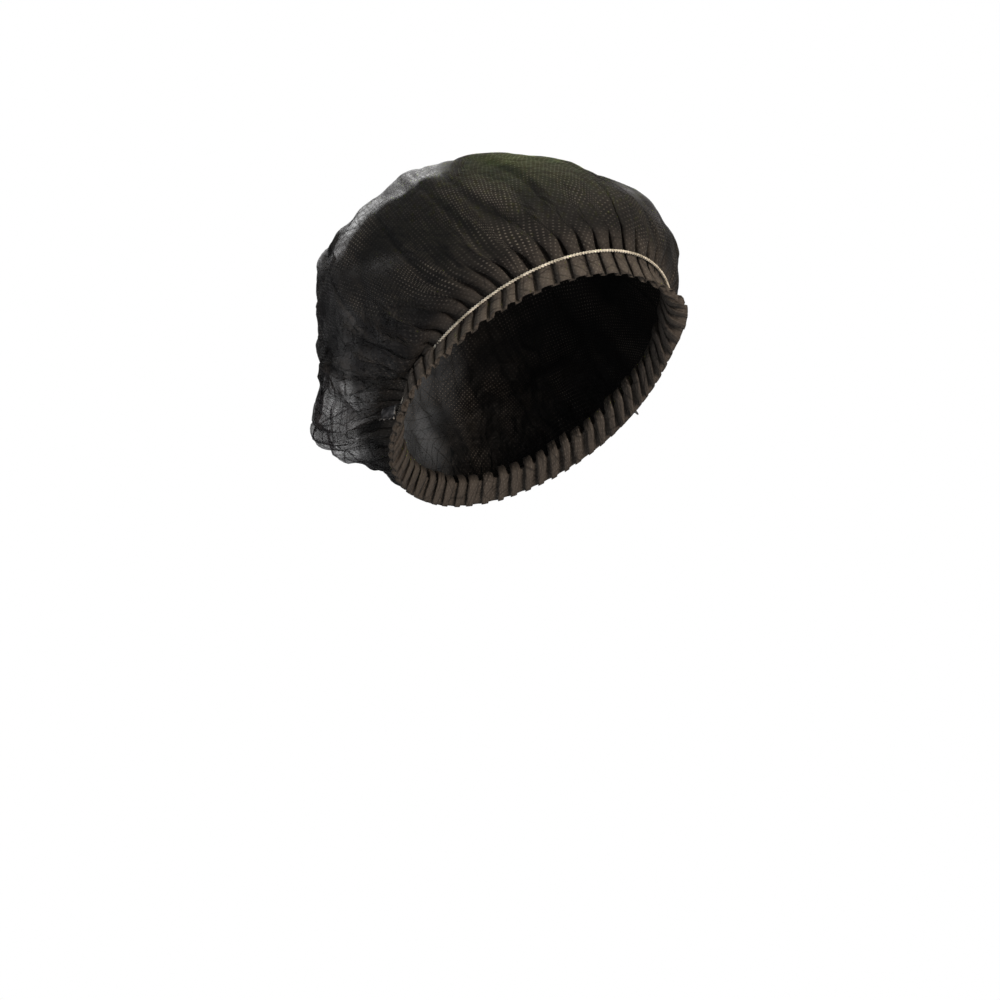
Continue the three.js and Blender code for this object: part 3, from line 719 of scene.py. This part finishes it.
tab = {
    "width": 9.0, "length": 12.0, "thickness": 0.7,  # mm
    "bites": 3, "bite": 1.5,  # the pinked edge, mm
    "offElastic": 1.8, "offFrill": 2.0,  # mm that it stands off the elastic's line, and off the free edge
    "across": 18, "along": 20, "softAngle": 35.0,  # faces of the mesh, degrees up to which they are smoothed
    "crinkle": 0.45, "crinkleSize": 4.2, "crinkleFrom": (40.0, 9.0), "seed": 4,  # mm
    "turned": (36.0, 58.0),  # degrees that its top and lower edge turn forward
    "clear": 3.9, "clearBy": 0.25,  # mm off the frill, and the share of its length by which it is
    "press": (2.6, 3.0), "pressBand": (0.45, 0.7),  # mm and detail of press marks, noise from dark to pressed
    "rimBand": (0.53, 0.62), "weldBand": (0.91, 0.97),  # sharpness of an edge for the painted highlight, share of the tab's way across for the weld line and the side edge
    "relief": 0.4, "reliefStrength": 0.5,  # mm
    "roughness": 0.38, "ior": 1.49,
    # rim: the pale weld line and the painted edge highlights
    "dark": "#1f1f21", "pressed": "#48484a", "rim": "#a3a19d",
}


def tabPlace(side):  # its corner over the elastic, and its directions round the loop, up the cloth and out
    turn = math.radians(side * elastic["tabBearing"])
    half, reach = cap["loop"]
    around = np.array([half * math.cos(turn), reach * math.sin(turn), 0.0])
    around /= np.linalg.norm(around)
    out = np.cross(around, (0.0, 0.0, 1.0))
    top = np.array([half * math.sin(turn), -reach * math.cos(turn), 0.0]) + out * tab["offElastic"]
    edge = leanBack(*ringLine(rings[:1], np.array([turn]))[0], -cap["tilt"]) + out * tab["offFrill"]
    away = np.cross(around, top - edge)
    away /= np.linalg.norm(away)
    return [leanBack(*v) for v in (top, around, np.cross(away, around), away)]


def makeTab(name, side, t=tab):
    top, around, up, away = tabPlace(side)
    bpy.ops.object.select_all(action="DESELECT")
    bpy.ops.mesh.primitive_grid_add(x_subdivisions=t["across"], y_subdivisions=t["along"], size=1.0)
    flap = bpy.context.object
    flap.name = name
    for vertex in flap.data.vertices:
        x, y = vertex.co.x, 0.5 - vertex.co.y  # across from -0.5 to 0.5, and down from the top edge
        tooth = abs((x + 0.5) * t["bites"] % 1.0 - 0.5) * 2
        down = y * (t["length"] - t["bite"] * (1 - tooth))
        spot = np.array([x * t["width"] + side * t["crinkleFrom"][0]]), np.array([down + t["crinkleFrom"][1]])
        dent = facets(*creaseGrid(*spot, t["crinkleSize"]), t["seed"])[0] * t["crinkle"]
        turn = -side * math.radians(t["turned"][0] + (t["turned"][1] - t["turned"][0]) * y)
        across = around * math.cos(turn) - away * math.sin(turn)
        face = away * math.cos(turn) + around * math.sin(turn)
        spot = top + across * x * t["width"] - up * down + away * t["clear"] * smooth(y, 0, t["clearBy"])
        vertex.co = (spot + face * (t["thickness"] / 2 + dent)) * mm
    flap.data.update()
    bpy.ops.object.mode_set(mode="EDIT")
    bpy.ops.mesh.select_all(action="SELECT")
    bpy.ops.mesh.flip_normals()
    bpy.ops.object.mode_set(mode="OBJECT")
    bpy.ops.object.modifier_add(type="SOLIDIFY")
    wall = flap.modifiers[-1]
    wall.thickness, wall.offset = t["thickness"] * mm, 0.0
    bpy.ops.object.modifier_apply(modifier=wall.name)
    bpy.ops.object.shade_smooth_by_angle(angle=math.radians(t["softAngle"]))
    return flap


def weldMaterial(t=tab):
    # Several layers of the cloth melted together: denser and glossier, with a pale whitened weld line and
    # painted highlights on its corners and on one cut side edge.
    material, tree, shader = newMaterial("weldedPolypropylene")
    place = put(tree, "TexCoord").outputs["Object"]
    size, detail = t["press"]
    press = put(tree, "TexNoise", {"Vector": place, "Scale": 1 / (size * mm), "Detail": detail})
    share = put(tree, "MapRange", {"Value": press, "From Min": t["pressBand"][0],
                                   "From Max": t["pressBand"][1]})
    edge = put(tree, "NewGeometry").outputs["Pointiness"]
    # painted highlight on the tab's pointed corners and edges
    rim = put(tree, "MapRange", {"Value": edge, "From Min": t["rimBand"][0], "From Max": t["rimBand"][1]})
    spot = put(tree, "SeparateXYZ", {"Vector": put(tree, "UVMap", uv_map="UVMap")})
    for side in ("X", "Y"):  # the weld line along the top edge is whitened, and one cut side edge gets a painted highlight
        pale = put(tree, "MapRange", {"Value": spot.outputs[side], "From Min": t["weldBand"][0],
                                      "From Max": t["weldBand"][1]})
        rim = put(tree, "Math", {0: rim, 1: pale}, operation="MAXIMUM")
    rim = put(tree, "Math", {0: rim, 1: share}, operation="MULTIPLY")
    colour = put(tree, "MixRGB", {"Fac": share, "Color1": linear(t["dark"]), "Color2": linear(t["pressed"])})
    colour = put(tree, "MixRGB", {"Fac": rim, "Color1": colour, "Color2": linear(t["rim"])})
    tree.links.new(colour.outputs["Color"], shader.inputs["Base Color"])
    bump = put(tree, "Bump", {"Height": press, "Strength": t["reliefStrength"], "Distance": t["relief"] * mm})
    tree.links.new(bump.outputs["Normal"], shader.inputs["Normal"])
    shader.inputs["Roughness"].default_value = t["roughness"]
    shader.inputs["IOR"].default_value = t["ior"]
    return material


pressed = weldMaterial()
for node, side in (("end_tab_right", -1), ("end_tab_left", 1)):
    flap = makeTab(node.replace("end_tab_", "weldedTab_"), side)
    flap.data.materials.append(pressed)
    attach(flap, "root")
    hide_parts(node)
print("tabs welded")


# light and stage

studio = {
    "floor": -0.42, "floorSize": 9.0,  # m
    "ground": 1.0,  # even light of the pale floor and of what is seen past it, so that both stay white
    "around": 0.34,  # soft light from all sides
    "white": "#ffffff", "black": "#000000", "layers": 32,  # see-through layers that light may pass
    # name, place, watts, size in m, spread in degrees, colour, where it points
    "softboxes": (("above", (0.05, -0.45, 1.3), 13.0, 0.7, 180, "#f5ebd3", (0.0, 0.02, 0.04)),
                  ("side", (-1.2, -0.3, 0.1), 4.0, 0.7, 180, "#f0f1f6", (0.0, 0.02, 0.04)),
                  ("front", (0.15, -1.4, 0.15), 20.0, 0.7, 180, "#ffeedf", (0.0, 0.02, 0.04)),
                  ("olive", (-0.02, -0.3, 1.2), 0.085, 0.05, 7, "#cde47a", (-0.005, -0.01, 0.14))),
}


def makeStudio(s=studio):
    world = bpy.data.worlds.new("studio")
    bpy.context.scene.world = world
    world.use_nodes = True
    tree = world.node_tree
    tree.nodes["Background"].inputs["Strength"].default_value = s["around"]
    tree.nodes["Background"].inputs["Color"].default_value = linear(s["white"])
    white = put(tree, "Background", {"Color": linear(s["white"]), "Strength": s["ground"]})
    seen = put(tree, "LightPath").outputs["Is Camera Ray"]
    mix = put(tree, "MixShader", {0: seen, 1: tree.nodes["Background"].outputs[0], 2: white.outputs[0]})
    tree.links.new(mix.outputs[0], tree.nodes["World Output"].inputs["Surface"])
    for name, place, watts, size, spread, colour, aim in s["softboxes"]:
        away = np.array(aim) - np.array(place)
        turn = (math.atan2(np.hypot(away[0], away[1]), -away[2]), 0.0,
                math.atan2(away[1], away[0]) - math.pi / 2)
        bpy.ops.object.light_add(type="AREA", location=place, rotation=turn)
        box = bpy.context.object
        box.name = name
        box.data.energy, box.data.size, box.data.color = watts, size, linear(colour)[:3]
        box.data.spread = math.radians(spread)
    bpy.ops.mesh.primitive_plane_add(size=2 * s["floorSize"], location=(0, 0, s["floor"]))
    floor = bpy.context.object
    floor.name = "floor"
    bpy.ops.object.transform_apply(location=True)
    material, tree, shader = newMaterial("paleFloor")
    shader.inputs["Base Color"].default_value = linear(s["black"])
    shader.inputs["Specular IOR Level"].default_value = 0.0
    shader.inputs["Emission Color"].default_value = linear(s["white"])
    shader.inputs["Emission Strength"].default_value = s["ground"]
    floor.data.materials.append(material)
    floor.visible_diffuse = floor.visible_glossy = False
    bpy.context.scene.view_settings.view_transform = "Standard"
    bpy.context.scene.cycles.transparent_max_bounces = s["layers"]


makeStudio()
print("studio lit")
